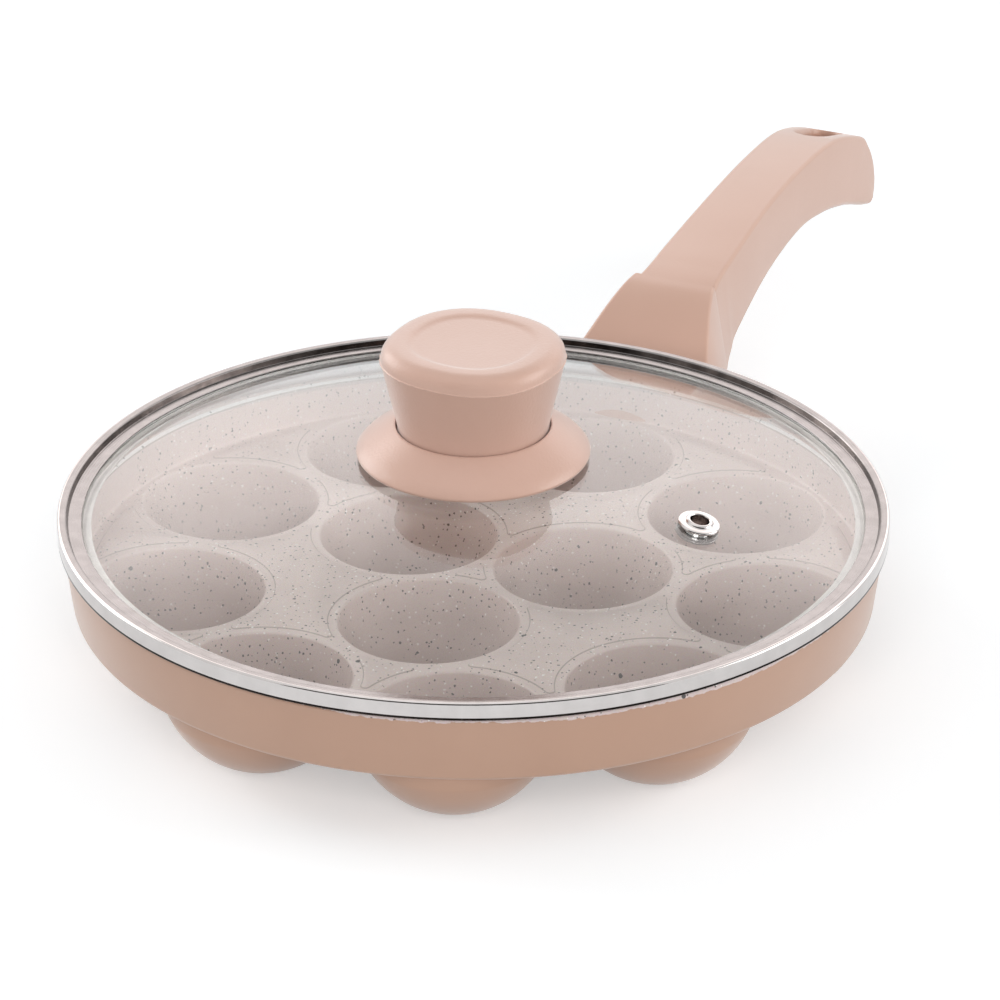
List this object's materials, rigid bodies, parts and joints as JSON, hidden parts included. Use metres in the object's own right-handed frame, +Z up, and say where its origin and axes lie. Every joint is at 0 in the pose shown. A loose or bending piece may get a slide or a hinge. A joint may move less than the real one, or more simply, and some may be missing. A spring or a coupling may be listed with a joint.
{
  "type": "paniyaram pan",
  "caption": "Round cast pan with hemispherical cavities for small dumplings, a long curved side handle and a domed glass lid with steel rim, steam vent and rounded-square knob.",
  "frame": {"origin": "On the pan's axis, level with the surface that its feet stand on.", "axes": "+Z is up, the way the lid lifts; +Y runs from the pan's axis out along the handle; +X is to the right when looking from the pan along the handle."},
  "size_m": [0.23, 0.4131, 0.0962],
  "materials": {
    "coated_aluminium": "satin beige paint outside, speckled grey non-stick coat inside",
    "soft_touch_phenolic": "satin soft-touch beige coat",
    "clear_glass": "clear polished",
    "polished_steel": "polished stainless steel",
    "plated_steel": "zinc plated",
    "brass": "turned",
    "silicone": "matte translucent"
  },
  "bodies": {
    "pan": {"pan_body": "coated_aluminium", "handle": "soft_touch_phenolic", "handle_screw": "plated_steel", "handle_washer": "plated_steel"},
    "lid": {"lid_glass": "clear_glass", "lid_rim": "polished_steel", "vent_eyelet": "polished_steel", "vent_washer": "polished_steel", "knob": "soft_touch_phenolic", "knob_skirt": "soft_touch_phenolic", "knob_insert": "brass", "knob_screw": "plated_steel", "knob_screw_washer": "plated_steel", "knob_gasket_upper": "silicone", "knob_gasket_lower": "silicone"}
  },
  "joints": [
    {"name": "lid_lift", "type": "slide", "parent": "pan", "child": "lid", "axis": [0, 0, 1], "range_m": [0, 0.12]}
  ]
}
